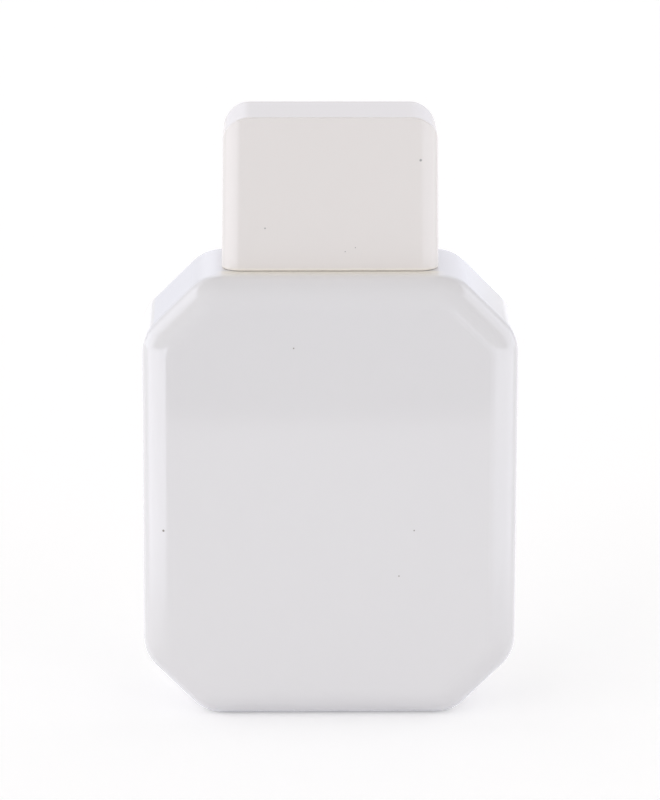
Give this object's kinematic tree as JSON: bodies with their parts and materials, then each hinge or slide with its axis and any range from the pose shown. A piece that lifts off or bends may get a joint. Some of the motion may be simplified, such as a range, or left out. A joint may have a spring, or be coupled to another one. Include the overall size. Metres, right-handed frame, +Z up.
{
  "type": "fragrance bottle with spray pump and overcap",
  "caption": "Flat white glass fragrance bottle with cut corners, a crimped fine-mist pump with a spray button, and a rectangular pull-off overcap.",
  "frame": {"origin": "middle of the bottle's base, on the plane it stands on", "axes": "+Z up along the pump, +X to the bottle's right as seen from the front, -Y out of the front face that the nozzle points at"},
  "size_m": [0.0742, 0.033, 0.1208],
  "materials": {
    "white_glass": "glossy opal",
    "cap_plastic": "matte",
    "collar_aluminium": "satin",
    "ferrule_aluminium": "plain",
    "button_plastic": "satin",
    "nozzle_plastic": "satin",
    "pump_plastic": "satin",
    "piston_plastic": "waxy",
    "housing_plastic": "waxy",
    "tube_plastic": "waxy",
    "seal_rubber": "soft",
    "spring_steel": "drawn",
    "ball_steel": "polished"
  },
  "bodies": {
    "bottle_body": {"bottle": "white_glass", "neck_gasket": "seal_rubber", "pump_housing": "housing_plastic", "inlet_ball": "ball_steel", "dip_tube": "tube_plastic", "turret": "pump_plastic", "stem_seal": "seal_rubber", "ferrule": "ferrule_aluminium", "collar": "collar_aluminium", "return_spring": "spring_steel"},
    "spray_button": {"actuator": "button_plastic", "nozzle_insert": "nozzle_plastic", "stem": "pump_plastic", "piston_seat": "pump_plastic", "piston": "piston_plastic", "precompression_spring": "spring_steel"},
    "cap": {"overcap": "cap_plastic"}
  },
  "joints": [
    {"name": "button_press", "type": "slide", "parent": "bottle_body", "child": "spray_button", "axis": [0, 0, -1], "range_m": [0, 0.0042], "stiffness_N_per_m": 1500, "deforming": ["return_spring"]},
    {"name": "cap_lift", "type": "slide", "parent": "bottle_body", "child": "cap", "axis": [0, 0, 1], "range_m": [0, 0.045]}
  ]
}
